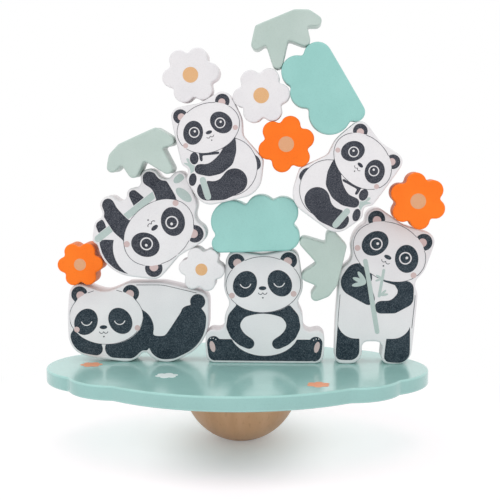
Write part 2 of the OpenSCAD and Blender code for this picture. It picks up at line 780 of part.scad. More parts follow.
module climber_cane(grow = 0) {
    blob([[-3.6, -32.8, 1.9 + grow], [-0.3, -43.6, 1.9 + grow]]);
}

module climber_arm(grow = 0) {
    limb([[-5.6, -26, 3.2 + grow], [0.6, -26.5, 4 + grow], [6.2, -24.2, 4.9 + grow],
          [11, -19.8, 5.2 + grow], [13.4, -14.2, 4.3 + grow], [15.6, -8, 1.8 + grow]]);
}

module climber_back(grow = 0) {
    oval(12.8, -24.5, 18 + grow, 18.4 + grow);
}

module climber_ink() {
    rotate([0, 0, climber_tilt])
        head_ink(climber_size, [-0.6, 0.4], true, 3.8);
    difference() {
        union() {
            climber_arm();
            difference() {
                oval(-9, -19.2, 2.8, 3.9);
                climber_arm(line_t);
            }
            difference() {
                blob([[16.6, -33.5, 8.1], [8], [-1, -39.5, 6.3], [8, -36.7, 8.8]]);
                climber_arm(line_t);
                climber_cane(line_t / 2);
            }
            oval(-10, -32.6, 2.4, 4.1, -8);
            limb([[-4.4, -20.4, 0.9], [-5, -16.6, 0.9], [6.5, -15.6, 0.8]]);
            difference() {
                oval(30.3, -21.6, 2.7, 4.6, 18);
                climber_back(line_t);
            }
            intersection() {
                difference() {
                    climber_back(line_t);
                    climber_back();
                }
                translate([15, -45])
                    square([30, 40]);
            }
        }
        rotate([0, 0, climber_tilt])
            head_oval(climber_size, line_t);
    }
}

module climber_bamboo() {
    on_front(climber_shape)
        difference() {
            union() {
                climber_cane();
                leaf_tuft(-8.4, -25.6, 4.2, [130, 157, 184, 211]);
            }
            climber_arm(line_t);
            oval(-9, -19.2, 3.2, 4.3);
        }
}

module climber_blush() {
    rotate([0, 0, climber_tilt])
        head_blush(climber_size, [-0.6, 0.4]);
}

// PIECES
module board() {
    color(mint)
        difference() {
            translate([-board_left, -board_forward, 0])
                slab(board_shape, ball_h, board_top);
            translate([0, 0, ball_h - 1])
                cylinder(d = dowel_d + 2 * dowel_room, h = 1 + dowel_in_board, $fn = 48);
        }
}

module half_ball() {
    color(beech)
        difference() {
            intersection() {
                translate([0, 0, ball_h - ball_drop])
                    sphere(r = ball_r, $fn = round_fn);
                translate([-ball_r, -ball_r, 0])
                    cube([2 * ball_r, 2 * ball_r, ball_h]);
            }
            translate([0, 0, ball_h - dowel_in_ball])
                cylinder(d = dowel_d + 2 * dowel_room, h = dowel_in_ball + 1, $fn = 48);
        }
}

module fixing_dowel() {
    color(beech)
        translate([0, 0, ball_h - dowel_in_ball + dowel_room])
            cylinder(d = dowel_d, h = dowel_in_ball + dowel_in_board - 2 * dowel_room, $fn = 48);
}

module sleeping_panda() {
    color(white)
        stand(sleeping_x, bottom_row_back, sleeping_z)
            block(sleeping_shape);
}

module sleeping_panda_ink() {
    color(ink)
        stand(sleeping_x, bottom_row_back, sleeping_z)
            film()
                on_front(sleeping_shape)
                    difference() {
                        sleeping_ink();
                        sleeping_blush();
                    }
}

module sleeping_panda_blush() {
    color(blush)
        stand(sleeping_x, bottom_row_back, sleeping_z)
            film()
                sleeping_blush();
}

module sitting_panda() {
    color(white)
        stand(sitting_x, bottom_row_back, sitting_z)
            block(sitting_shape);
}

module sitting_panda_ink() {
    color(ink)
        stand(sitting_x, bottom_row_back, sitting_z)
            film()
                difference() {
                    sitting_ink();
                    sitting_blush();
                }
}

module sitting_panda_blush() {
    color(blush)
        stand(sitting_x, bottom_row_back, sitting_z)
            film()
                sitting_blush();
}

module standing_panda() {
    color(white)
        stand(standing_x, bottom_row_back, standing_z)
            block(standing_shape);
}

module standing_panda_ink() {
    color(ink)
        stand(standing_x, bottom_row_back, standing_z)
            film()
                difference() {
                    standing_ink();
                    standing_blush();
                }
}

module standing_panda_blush() {
    color(blush)
        stand(standing_x, bottom_row_back, standing_z)
            film()
                standing_blush();
}

module standing_panda_bamboo() {
    color(bamboo)
        stand(standing_x, bottom_row_back, standing_z)
            film()
                standing_bamboo();
}

module upside_down_panda() {
    color(white)
        stand(upside_x, second_row_back, upside_z)
            block(upside_shape);
}

module upside_down_panda_ink() {
    color(ink)
        stand(upside_x, second_row_back, upside_z)
            film()
                on_front(upside_shape)
                    difference() {
                        upside_ink();
                        upside_blush();
                    }
}

module upside_down_panda_blush() {
    color(blush)
        stand(upside_x, second_row_back, upside_z)
            film()
                upside_blush();
}

module upside_down_panda_bamboo() {
    color(bamboo)
        stand(upside_x, second_row_back, upside_z)
            film()
                on_front(upside_shape)
                    upside_bamboo();
}

module climber_left_stand() {
    stand(climber_left_x, upper_row_back, climber_left_z)
        children();
}

module climber_right_stand() {
    stand(climber_right_x, upper_row_back, climber_right_z, -23, true)
        children();
}

module climbing_panda_left() {
    color(white)
        climber_left_stand()
            block(climber_shape);
}

module climbing_panda_left_ink() {
    color(ink)
        climber_left_stand()
            film()
                difference() {
                    climber_ink();
                    climber_blush();
                }
}

module climbing_panda_left_blush() {
    color(blush)
        climber_left_stand()
            film()
                climber_blush();
}

module climbing_panda_left_bamboo() {
    color(bamboo)
        climber_left_stand()
            film()
                climber_bamboo();
}

module climbing_panda_right() {
    color(white)
        climber_right_stand()
            block(climber_shape);
}

module climbing_panda_right_ink() {
    color(ink)
        climber_right_stand()
            film()
                difference() {
                    climber_ink();
                    climber_blush();
                }
}

module climbing_panda_right_blush() {
    color(blush)
        climber_right_stand()
            film()
                climber_blush();
}

module climbing_panda_right_bamboo() {
    color(bamboo)
        climber_right_stand()
            film()
                climber_bamboo();
}

module cloud_low() {
    color(mint)
        stand(cloud_low_x, second_row_back, cloud_low_z)
            block(cloud_low_posed);
}

module cloud_high() {
    color(mint)
        stand(cloud_high_x, upper_row_back, cloud_high_z)
            block(cloud_high_posed);
}

module leaves_left() {
    color(sage)
        stand(leaves_left_x, upper_row_back, leaves_left_z, yaw = -leaves_left_yaw)
            block(posed(leaves_shape, 24));
}

module leaves_top() {
    color(sage)
        stand(leaves_top_x, upper_row_back, leaves_top_z)
            block(leaves_top_posed);
}

module leaves_middle() {
    color(sage)
        stand(leaves_middle_x, second_row_back, leaves_middle_z)
            block(leaves_middle_posed);
}

module white_flower_left() {
    color(white)
        stand(white_left_x, upper_row_back, white_left_z)
            block(white_left_posed);
}

module white_flower_left_middle() {
    color(tan)
        stand(white_left_x, upper_row_back, white_left_z)
            film()
                disc(0, 0, middle_r);
}

module white_flower_right() {
    color(white)
        stand(white_right_x, upper_row_back, white_right_z)
            block(white_right_posed);
}

module white_flower_right_middle() {
    color(tan)
        stand(white_right_x, upper_row_back, white_right_z)
            film()
                disc(0, 0, middle_r);
}

module white_flower_small() {
    color(white)
        stand(white_small_x, second_row_back, white_small_z)
            block(white_small_posed);
}

module white_flower_small_middle() {
    color(tan)
        stand(white_small_x, second_row_back, white_small_z)
            film()
                disc(0, 0, small_middle_r);
}

module orange_flower_middle() {
    color(orange)
        stand(orange_middle_x, upper_row_back, orange_middle_z)
            block(orange_middle_posed);
}

module orange_flower_middle_middle() {
    color(tan)
        stand(orange_middle_x, upper_row_back, orange_middle_z)
            film()
                disc(0, 0, middle_r);
}

module orange_flower_right() {
    color(orange)
        stand(orange_right_x, upper_row_back, orange_right_z)
            block(orange_right_posed);
}

module orange_flower_right_middle() {
    color(tan)
        stand(orange_right_x, upper_row_back, orange_right_z)
            film()
                disc(0, 0, middle_r);
}

module orange_flower_small() {
    color(orange)
        stand(orange_small_x, second_row_back, orange_small_z)
            block(orange_small_posed);
}

module orange_flower_small_middle() {
    color(tan)
        stand(orange_small_x, second_row_back, orange_small_z)
            film()
                disc(0, 0, small_middle_r);
}

// Small flowers printed on the board's top. Each is [x, y, turn] from the board's middle.
board_flower_size = 0.4;
left_orange_print = [-95, 0, 10];
right_orange_print = [52, -52, 25];
white_print = [-42, -31, 20];

module board_flower(place) {
    translate([place.x - board_left, place.y - board_forward, board_top])
        rotate([0, 0, place.z])
            linear_extrude(height = ink_t)
                polygon(edge([for (c = large_flower) c * board_flower_size]));
}

module board_orange_print() {
    color(orange) {
        board_flower(left_orange_print);
        board_flower(right_orange_print);
    }
}

module board_white_print() {
    color(white)
        board_flower(white_print);
}

board();
half_ball();
fixing_dowel();
sleeping_panda();
sitting_panda();
standing_panda();
upside_down_panda();
climbing_panda_left();
climbing_panda_right();
cloud_low();
cloud_high();
leaves_left();
leaves_top();
leaves_middle();
white_flower_left();
white_flower_right();
white_flower_small();
orange_flower_middle();
orange_flower_right();
orange_flower_small();
sleeping_panda_ink();
sitting_panda_ink();
standing_panda_ink();
upside_down_panda_ink();
climbing_panda_left_ink();
climbing_panda_right_ink();
sleeping_panda_blush();
sitting_panda_blush();
standing_panda_blush();
upside_down_panda_blush();
climbing_panda_left_blush();
climbing_panda_right_blush();
standing_panda_bamboo();
upside_down_panda_bamboo();
climbing_panda_left_bamboo();
climbing_panda_right_bamboo();
white_flower_left_middle();
white_flower_right_middle();
white_flower_small_middle();
orange_flower_middle_middle();
orange_flower_right_middle();
orange_flower_small_middle();
board_orange_print();
board_white_print();
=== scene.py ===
# %% [markdown]
# # A wooden stacking balance game
# Loose flat blocks are stacked on a scalloped board, and the board stands on a half ball.
# This first step loads the imported solids. They are the exact frame: each block sits where the
# solids say, in metres, with Z up and the printed faces towards -Y. The box of the solids is
# kept, and the lamps are placed round its middle.

# %% Load the solids
import bpy
import math
import numpy as np
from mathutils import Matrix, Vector
from mathutils.geometry import delaunay_2d_cdt


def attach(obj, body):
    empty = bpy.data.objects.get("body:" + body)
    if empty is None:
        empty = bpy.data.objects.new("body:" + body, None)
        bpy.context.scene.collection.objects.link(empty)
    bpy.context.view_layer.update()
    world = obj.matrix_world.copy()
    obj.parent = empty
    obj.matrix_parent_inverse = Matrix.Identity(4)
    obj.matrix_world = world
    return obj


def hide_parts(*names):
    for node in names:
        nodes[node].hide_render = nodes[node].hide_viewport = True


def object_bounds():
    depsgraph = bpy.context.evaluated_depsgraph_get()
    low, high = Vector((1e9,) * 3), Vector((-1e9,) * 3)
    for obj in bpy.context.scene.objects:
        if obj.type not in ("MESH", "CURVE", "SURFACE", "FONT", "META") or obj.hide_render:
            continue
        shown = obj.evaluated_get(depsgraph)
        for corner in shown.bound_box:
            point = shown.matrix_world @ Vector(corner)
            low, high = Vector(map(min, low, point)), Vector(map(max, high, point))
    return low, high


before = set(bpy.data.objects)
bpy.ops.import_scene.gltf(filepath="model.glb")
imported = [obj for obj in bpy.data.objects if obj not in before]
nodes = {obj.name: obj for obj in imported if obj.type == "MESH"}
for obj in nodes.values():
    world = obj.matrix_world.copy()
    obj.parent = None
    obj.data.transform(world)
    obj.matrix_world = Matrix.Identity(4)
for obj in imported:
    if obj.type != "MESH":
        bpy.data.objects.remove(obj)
cad_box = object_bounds()
MM = 0.001
print("solids:", len(nodes), "nodes; box in mm:",
      [[round(c / MM, 1) for c in corner] for corner in cad_box])

# %% [markdown]
# ## Which node is which
# The node names say what each piece is. A block is a thick flat piece, and a print is a film of
# ink on a block's front or on the board. Sorting them by name once keeps every later step short.

# %% Sort the nodes
PRINT_ENDINGS = ("_ink", "_blush", "_bamboo", "_print", "_flower_left_middle",
                 "_flower_right_middle", "_flower_small_middle", "_middle_middle")
prints = [name for name in nodes if name.endswith(PRINT_ENDINGS)]
turned = ["half_ball", "fixing_dowel"]
blocks = [name for name in nodes if name not in prints + turned + ["board"]]
print(len(blocks), "blocks,", len(prints), "prints, and the board on its half ball")

# %% [markdown]
# ## Flat pieces and their outlines
# Every block, the board and every print is a flat shape with a thickness. To finish one, the
# script needs the direction that its front looks to, and the closed line round its edge. Both
# can be read from the solid: the front is the side that holds the largest triangle, and the
# edge line is a chain of triangle sides that lie at one level.

# %% Read the triangles of a solid
def triangles(node):
    """Corner points, merged where they meet, and the triangles that join them."""
    mesh = nodes[node].data
    points = np.empty(len(mesh.vertices) * 3)
    mesh.vertices.foreach_get("co", points)
    mesh.calc_loop_triangles()
    corners = np.empty(len(mesh.loop_triangles) * 3, dtype=np.int64)
    mesh.loop_triangles.foreach_get("vertices", corners)
    points, where = np.unique(points.reshape(-1, 3).round(7), axis=0, return_inverse=True)
    corners = where.ravel()[corners].reshape(-1, 3)
    proper = (corners != np.roll(corners, 1, axis=1)).all(axis=1)
    return points, corners[proper]


print("the board's solid has", len(triangles("board")[1]), "triangles")


# %% Find the front
def flat_axes(points, corners, upright):
    """Three axes: along the piece, up the piece, and out of its front.
    The front is what the largest triangle faces, among those that face -Y, or +Z if it lies."""
    a, b, c = (points[corners[:, k]] for k in range(3))
    normals = np.cross(b - a, c - a)
    area = np.linalg.norm(normals, axis=1)
    facing = normals[:, 1] < -0.9 * area if upright else normals[:, 2] > 0.9 * area
    front = (normals[facing] / area[facing, None])[np.argmax(area[facing])]
    up = np.array([0.0, 0.0, 1.0]) if upright else np.array([0.0, 1.0, 0.0])
    return np.stack([np.cross(up, front), up, front])


print("the sitting panda's front looks to", flat_axes(*triangles("sitting_panda"), True)[2].round(3))


# %% [markdown]
# ## From triangles to outlines
# A triangle lists its corners anticlockwise when it is seen from outside. So each of its sides
# has a direction, and a side on the rim of a face belongs to one triangle of that face only.
# Put end to end, such sides give a closed outline, with the piece always on the left.

# %% Follow an outline
def chains(starts, ends):
    """Closed chains of corner numbers, from sides that each lead from a start to an end.
    Where outlines share a corner, more than one side leaves it, and each is used once."""
    following = {}
    for start, end in zip(starts.tolist(), ends.tolist()):
        following.setdefault(start, []).append(end)
    found = []
    for first in list(following):
        while following[first]:
            chain, step = [first], following[first].pop()
            while step != first and following.get(step):
                chain.append(step)
                step = following[step].pop()
            found.append(chain)
    return found


def rim_of_block(local, corners, level, slack):
    """The outline at one level: the sides at that level of triangles that reach below it."""
    at_level = np.abs(local[:, 2] - level) < slack
    rims = []
    for k in range(3):
        a, b, other = corners[:, k], corners[:, (k + 1) % 3], corners[:, (k + 2) % 3]
        keep = at_level[a] & at_level[b] & (local[other, 2] < level - slack)
        rims.append(np.stack([a[keep], b[keep]]))
    starts, ends = np.concatenate(rims, axis=1)
    longest = max(chains(starts, ends), key=len)
    return local[longest, :2]


def single_sides(corners):
    """The sides, in their triangle's direction, that belong to one triangle only."""
    sides = np.concatenate([corners[:, [k, (k + 1) % 3]] for k in range(3)])
    size = corners.max() + 1
    alone = ~np.isin(sides[:, 0] * size + sides[:, 1], sides[:, 1] * size + sides[:, 0])
    return sides[alone]


def rims_of_film(local, corners):
    """All outlines of the front of a print, those of its holes too."""
    front = corners[(local[corners, 2] > local[:, 2].max() - 1e-6).all(axis=1)]
    sides = single_sides(front)
    return [local[chain, :2] for chain in chains(sides[:, 0], sides[:, 1]) if len(chain) > 2]


# %% [markdown]
# ## Drawing an outline smooth
# The solids' outlines are made of short straight steps. On the real blocks the saw followed a
# curve, and the cut was sanded. Here a smooth curve is drawn through the corners: each step
# becomes a cubic with a tangent at either end. The tangent at a corner is the direction from
# the corner before it to the one after it. Where the line really turns sharply, each side keeps
# its own direction, so the corner stays. Then the curve is sanded a little: every point becomes
# the mean of its neighbours, with weights from a narrow bell curve.

# %% Smooth an outline
SHARP = math.cos(math.radians(38))


def drawn(outline, spacing):
    """A closed curve through the outline's corners, as complex numbers in equal steps.
    Between corners p and q, a chord of length d apart, with unit tangents t and u:
    p (2s^3 - 3s^2 + 1) + d t (s^3 - 2s^2 + s) + q (3s^2 - 2s^3) + d u (s^3 - s^2)."""
    corner = outline[:, 0] + 1j * outline[:, 1]
    chord = np.roll(corner, -1) - corner
    keep = np.abs(chord) > 1e-7
    corner = corner[keep]
    chord = np.roll(corner, -1) - corner
    length = np.abs(chord)
    ahead = chord / length
    behind = np.roll(ahead, 1)
    across = np.roll(corner, -1) - np.roll(corner, 1)
    through = across / np.maximum(np.abs(across), 1e-9)
    sharp = (ahead * np.conj(behind)).real < SHARP
    leaving = np.where(sharp, ahead, through)
    arriving = np.roll(np.where(sharp, behind, through), -1)
    along = np.concatenate([[0], np.cumsum(length)])
    steps = max(24, int(round(along[-1] / spacing)))
    walk = np.arange(steps) * along[-1] / steps
    i = np.searchsorted(along, walk, side="right") - 1
    s, d = (walk - along[i]) / length[i], length[i]
    return (corner[i] * (2 * s ** 3 - 3 * s ** 2 + 1) + d * leaving[i] * (s ** 3 - 2 * s ** 2 + s)
            + np.roll(corner, -1)[i] * (3 * s ** 2 - 2 * s ** 3) + d * arriving[i] * (s ** 3 - s ** 2)
            ), along[-1] / steps


def sanded(outline, reach, spacing):
    """The drawn curve, smoothed by a circular bell-curve mean of width reach.
    The mean is a product in frequency space: exp(-(2 pi f reach)^2 / 2)."""
    line, step = drawn(outline, spacing)
    frequency = np.fft.fftfreq(len(line), d=step)
    line = np.fft.ifft(np.fft.fft(line) * np.exp(-(2 * np.pi * frequency * reach) ** 2 / 2))
    return np.stack([line.real, line.imag], axis=1)


def outward(outline):
    """Unit normals that point out of an anticlockwise outline: the tangent turned clockwise."""
    tangent = np.roll(outline, -1, axis=0) - np.roll(outline, 1, axis=0)
    tangent /= np.linalg.norm(tangent, axis=1, keepdims=True)
    return np.stack([tangent[:, 1], -tangent[:, 0]], axis=1)


def anticlockwise(outline):
    """The outline itself, or turned round if its signed area is negative."""
    x, y = outline.T
    area = np.sum(x * np.roll(y, -1) - y * np.roll(x, -1))
    return outline if area > 0 else outline[::-1]


# %% [markdown]
# ## A block with sanded edges
# A child's block has no sharp edge: both rims are rounded over by about a millimetre. The
# surface is a profile carried round the outline. The profile starts on the back face, turns a
# quarter circle on to the wall, runs along it, and turns on to the front face. One more ring
# just inside each face keeps the flat faces flat in the shading. The wall's own faces get a
# second material, so that an edge can have a colour of its own. On the board and the orange
# blocks that colour is a painted shade.

# %% Make a block
EDGE_ROUND = 1.15 * MM
INNER_RING = 1.25 * EDGE_ROUND
QUARTER_STEPS = 5


def new_mesh(name, points, faces):
    """A mesh object with smooth shading, linked to the scene and left at the origin."""
    mesh = bpy.data.meshes.new(name)
    mesh.from_pydata(points.tolist(), [], faces)
    mesh.polygons.foreach_set("use_smooth", np.ones(len(mesh.polygons), dtype=bool))
    mesh.update()
    piece = bpy.data.objects.new(name, mesh)
    bpy.context.scene.collection.objects.link(piece)
    return piece


def ring_faces(rings, count):
    """Quads between rings of count points each, and a face that closes either end."""
    ring, step = np.meshgrid(np.arange(rings - 1), np.arange(count), indexing="ij")
    nxt = (step + 1) % count
    quads = np.stack([ring * count + step, ring * count + nxt,
                      (ring + 1) * count + nxt, (ring + 1) * count + step], axis=2)
    last = (rings - 1) * count
    return quads.reshape(-1, 4).tolist() + [list(range(count))[::-1],
                                            list(range(last, last + count))]


def rounded_profile(low, high):
    """Pairs (inset, level) from the back face to the front face.
    A quarter circle of radius r gives inset r(1 - sin t) and level r(1 - cos t)."""
    t = np.linspace(0, np.pi / 2, QUARTER_STEPS + 1)
    inset = EDGE_ROUND * (1 - np.sin(t))
    level = EDGE_ROUND * (1 - np.cos(t))
    inset = np.concatenate([[INNER_RING], inset])
    level = np.concatenate([[0.0], level])
    return np.stack([np.concatenate([inset, inset[::-1]]),
                     np.concatenate([low + level, high - level[::-1]])], axis=1)


def flat_solid(name, outline, low, high, axes):
    """Rings of the outline moved in by the profile's inset, joined by quads, closed by two faces."""
    profile = rounded_profile(low, high)
    out = outward(outline)
    rings = outline[None] - profile[:, 0, None, None] * out[None]
    levels = np.broadcast_to(profile[:, 1, None, None], rings.shape[:2] + (1,))
    points = np.concatenate([rings, levels], axis=2).reshape(-1, 3) @ axes
    piece = new_mesh(name, points, ring_faces(len(profile), len(outline)))
    wall = np.zeros(len(piece.data.polygons), dtype=np.int32)
    first = (QUARTER_STEPS + 1) * len(outline)
    wall[first:first + len(outline)] = 1
    piece.data.polygons.foreach_set("material_index", wall)
    return piece


def finish_flat(node, upright=True, reach=0.45 * MM, spacing=0.6 * MM):
    """The finished piece that stands for a block or the board."""
    points, corners = triangles(node)
    axes = flat_axes(points, corners, upright)
    local = points @ axes.T
    low, high = local[:, 2].min(), local[:, 2].max()
    levels = np.unique(local[:, 2].round(6))
    outline = rim_of_block(local, corners, levels[-2], 2e-5)
    outline = sanded(anticlockwise(outline), reach, spacing)
    piece = flat_solid(node + "_finished", outline, low, high, axes)
    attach(piece, "root")
    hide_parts(node)
    return piece, len(outline)


# %% Round over every block and the board
finished = {}
for node in blocks:
    finished[node], count = finish_flat(node)
finished["board"], count = finish_flat("board", upright=False, spacing=0.9 * MM)
print("rounded over", len(finished), "pieces; the board's outline has", count, "points")

# %% [markdown]
# ## Printed films
# The figures are printed on the fronts. A print is a thin flat film, often with holes, so it
# isn't one profile carried round. Its outlines get the same smoothing as the blocks, a little for
# a small shape and more for a large one, as ink rounds the corners of a stencil. Then the plane
# is cut into triangles that respect all outlines. A triangle belongs to the film if a line drawn
# from its middle to one side crosses the outlines an odd number of times.

# %% Make the prints
INK_ROUNDING_SHARE = 0.0022
INK_ROUNDING_LIMITS = (0.06 * MM, 0.75 * MM)
INK_STEP = 0.35 * MM


def crossings(middles, a, b):
    """How many of the segments from a to b lie across the line from each middle towards +X."""
    count = np.zeros(len(middles), dtype=np.int64)
    x, y = middles[:, 0, None], middles[:, 1, None]
    for part in np.array_split(np.arange(len(a)), max(1, len(a) // 256)):
        p, q = a[part], b[part]
        spans = (p[:, 1] > y) != (q[:, 1] > y)
        rise = np.where(q[:, 1] == p[:, 1], 1.0, q[:, 1] - p[:, 1])
        at = p[:, 0] + (y - p[:, 1]) * (q[:, 0] - p[:, 0]) / rise
        count += (spans & (x < at)).sum(axis=1)
    return count


def filled(rings):
    """Points and triangles of the area that lies inside an odd number of the closed rings."""
    points = np.concatenate(rings)
    first = np.cumsum([0] + [len(ring) for ring in rings])
    start = np.arange(len(points))
    end = start + 1
    end[first[1:] - 1] = first[:-1]
    out = delaunay_2d_cdt([Vector(point) for point in points], np.stack([start, end], axis=1).tolist(),
                          [], 0, 1e-9, False)
    flat = np.array([point[:] for point in out[0]])
    triangle = np.array([face for face in out[2] if len(face) == 3])
    inside = crossings(flat[triangle].mean(axis=1), points[start], points[end]) % 2 == 1
    triangle = triangle[inside]
    a, b, c = (flat[triangle[:, k]] for k in range(3))
    turn = (b[:, 0] - a[:, 0]) * (c[:, 1] - a[:, 1]) - (b[:, 1] - a[:, 1]) * (c[:, 0] - a[:, 0])
    triangle[turn < 0] = triangle[turn < 0][:, ::-1]
    return flat, triangle


def finish_print(node):
    """A closed film: the filled outlines at two levels, joined by walls along their rims."""
    points, corners = triangles(node)
    axes = flat_axes(points, corners, not node.startswith("board"))
    local = points @ axes.T
    low, high = local[:, 2].min(), local[:, 2].max()
    rings = []
    for outline in rims_of_film(local, corners):
        around = np.linalg.norm(np.roll(outline, -1, axis=0) - outline, axis=1).sum()
        reach = np.clip(INK_ROUNDING_SHARE * around, *INK_ROUNDING_LIMITS)
        rings.append(sanded(outline, reach, INK_STEP))
    flat, face = filled(rings)
    count = len(flat)
    film = np.concatenate([np.column_stack([flat, np.full(count, level)]) for level in (low, high)])
    rim = single_sides(face)
    walls = np.column_stack([rim[:, 0], rim[:, 1], rim[:, 1] + count, rim[:, 0] + count])
    faces = face[:, ::-1].tolist() + (face + count).tolist() + walls.tolist()
    piece = new_mesh(node + "_finished", film @ axes, faces)
    piece.data.polygons.foreach_set("use_smooth", np.zeros(len(faces), dtype=bool))
    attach(piece, "root")
    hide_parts(node)
    return piece


for node in prints:
    finished[node] = finish_print(node)
print("prints:", len(prints), "with",
      sum(len(finished[node].data.polygons) for node in prints), "faces")

# %% [markdown]
# ## The half ball
# The half ball is turned on a lathe from one piece of beech, so it is a surface of revolution:
# one profile, swept round the vertical axis. The profile is an arc from the small flat that it
# stands on up to the underside of the board. The flat's width is read from the solid, and with
# the widest part it gives the height of the sphere's middle.

# %% Turn the half ball
def turned_half_ball(around=144, up=56):
    """x, y = rho cos a, rho sin a, where rho and z follow a circle of radius R.
    Its middle is sqrt(R^2 - r^2) above the foot, for a foot of radius r."""
    points, _ = triangles("half_ball")
    low, high = points.min(axis=0), points.max(axis=0)
    axis = (low + high) / 2
    reach = np.hypot(points[:, 0] - axis[0], points[:, 1] - axis[1])
    radius, foot = reach.max(), reach[points[:, 2] < low[2] + 0.01 * MM].max()
    middle = low[2] + math.sqrt(radius ** 2 - foot ** 2)
    angle = np.linspace(-math.acos(foot / radius), math.asin((high[2] - middle) / radius), up)
    rho, z = radius * np.cos(angle), middle + radius * np.sin(angle)
    rho, z = np.append(rho, 0.9 * rho[-1]), np.append(z, z[-1])
    a = np.arange(around) * 2 * np.pi / around
    points = np.stack([axis[0] + rho[:, None] * np.cos(a), axis[1] + rho[:, None] * np.sin(a),
                       np.broadcast_to(z[:, None], (len(z), around))], axis=2).reshape(-1, 3)
    piece = new_mesh("half_ball_finished", points, ring_faces(len(z), around))
    print("half ball: radius", round(radius / MM, 1), "mm, foot", round(foot / MM, 1), "mm")
    return piece


finished["half_ball"] = turned_half_ball()
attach(finished["half_ball"], "root")
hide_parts("half_ball")

# %% [markdown]
# ## Paint
# The blocks are dipped in a water-based lacquer. Seen close, such paint is never one flat
# colour: it is a little thinner in places, the wood's grain lifts it in fine lines, and dust
# gives tiny specks. The material mixes two near shades by a soft noise, and its bump adds the
# raised grain. The shine is set on the shader itself.

# %% Screen colours
def linear(r, g, b):
    """A screen colour from 0 to 255 as the linear colour that the shader wants."""
    c = np.array([r, g, b]) / 255
    return (*np.where(c <= 0.04045, c / 12.92, ((c + 0.055) / 1.055) ** 2.4).tolist(), 1.0)


print("mid grey, 128 of 255 on the screen, is", round(linear(128, 128, 128)[0], 3), "of full light")


# %% Start a material
def start_material(name, roughness, coat=0.0, shine=0.5):
    """A material with its shader, and Object coordinates to lay patterns on."""
    material = bpy.data.materials.new(name)
    material.use_nodes = True
    tree = material.node_tree
    shader = tree.nodes["Principled BSDF"]
    shader.inputs["Roughness"].default_value = roughness
    shader.inputs["Coat Weight"].default_value = coat
    shader.inputs["Coat Roughness"].default_value = 0.1
    shader.inputs["Specular IOR Level"].default_value = shine
    place = tree.nodes.new("ShaderNodeTexCoord")
    return material, tree, shader, place.outputs["Object"]


# %% Patterns and their colours
def noise(tree, place, scale, detail=3.0, stretch=(1, 1, 1), roughness=0.5):
    """Noise with about scale bumps a metre, stretched by unequal scales along the axes."""
    mapping = tree.nodes.new("ShaderNodeMapping")
    mapping.inputs["Scale"].default_value = stretch
    texture = tree.nodes.new("ShaderNodeTexNoise")
    texture.inputs["Scale"].default_value = scale
    texture.inputs["Detail"].default_value = detail
    texture.inputs["Roughness"].default_value = roughness
    tree.links.new(place, mapping.inputs["Vector"])
    tree.links.new(mapping.outputs["Vector"], texture.inputs["Vector"])
    return texture.outputs["Fac"]


def ramp(tree, value, stops):
    """Colours by value: a list of (position, linear colour)."""
    node = tree.nodes.new("ShaderNodeValToRGB")
    elements = node.color_ramp.elements
    while len(elements) < len(stops):
        elements.new(0.5)
    for element, (position, colour) in zip(elements, stops):
        element.position, element.color = position, colour
    tree.links.new(value, node.inputs["Fac"])
    return node.outputs["Color"]


def blend_colours(tree, factor, a, b):
    """Mix of two colours. Each is a socket or a fixed colour, and so is the factor."""
    node = tree.nodes.new("ShaderNodeMix")
    node.data_type = "RGBA"
    sockets = {s.identifier: s for s in node.inputs}
    for key, value in (("Factor_Float", factor), ("A_Color", a), ("B_Color", b)):
        if isinstance(value, (tuple, float, int)):
            sockets[key].default_value = value
        else:
            tree.links.new(value, sockets[key])
    return next(s for s in node.outputs if s.identifier == "Result_Color")


# %% Relief and lacquer
def bump(tree, shader, value, strength, depth):
    """Relief on the shader, from a value between 0 and 1. depth is in metres."""
    node = tree.nodes.new("ShaderNodeBump")
    node.inputs["Strength"].default_value = strength
    node.inputs["Distance"].default_value = depth
    tree.links.new(value, node.inputs["Height"])
    tree.links.new(node.outputs["Normal"], shader.inputs["Normal"])


def painted_wood(name, light, dark, roughness, coat, grain=(1, 1, 1), shine=0.5):
    """Lacquer: two near shades by soft noise, fine specks, and raised grain as bump."""
    material, tree, shader, place = start_material(name, roughness, coat, shine)
    soft = noise(tree, place, 38, 4)
    base = ramp(tree, soft, [(0.34, linear(*dark)), (0.66, linear(*light))])
    dust = noise(tree, place, 1500, 2)
    fine = ramp(tree, dust, [(0.3, (0.9, 0.9, 0.9, 1)), (0.5, (1, 1, 1, 1))])
    tint = tree.nodes.new("ShaderNodeMix")
    tint.data_type, tint.blend_type = "RGBA", "MULTIPLY"
    sockets = {s.identifier: s for s in tint.inputs}
    sockets["Factor_Float"].default_value = 0.5
    tree.links.new(base, sockets["A_Color"])
    tree.links.new(fine, sockets["B_Color"])
    tree.links.new(next(s for s in tint.outputs if s.identifier == "Result_Color"),
                   shader.inputs["Base Color"])
    bump(tree, shader, noise(tree, place, 260, 3, grain), 0.35, 0.00012)
    return material


# %% [markdown]
# ## Printing ink
# The dark figures are screen printed. The ink lies on the grain of the wood, so it shows a fine
# salt of lighter specks where it missed the hollows. A dense noise makes the specks: they come up
# softly as it rises, like salt through a sieve. A slower one makes the ink a little thicker here
# and thinner there.

# %% The inks
SALT_SCALE = 1700
SALT_RISE = (0.44, 0.66)


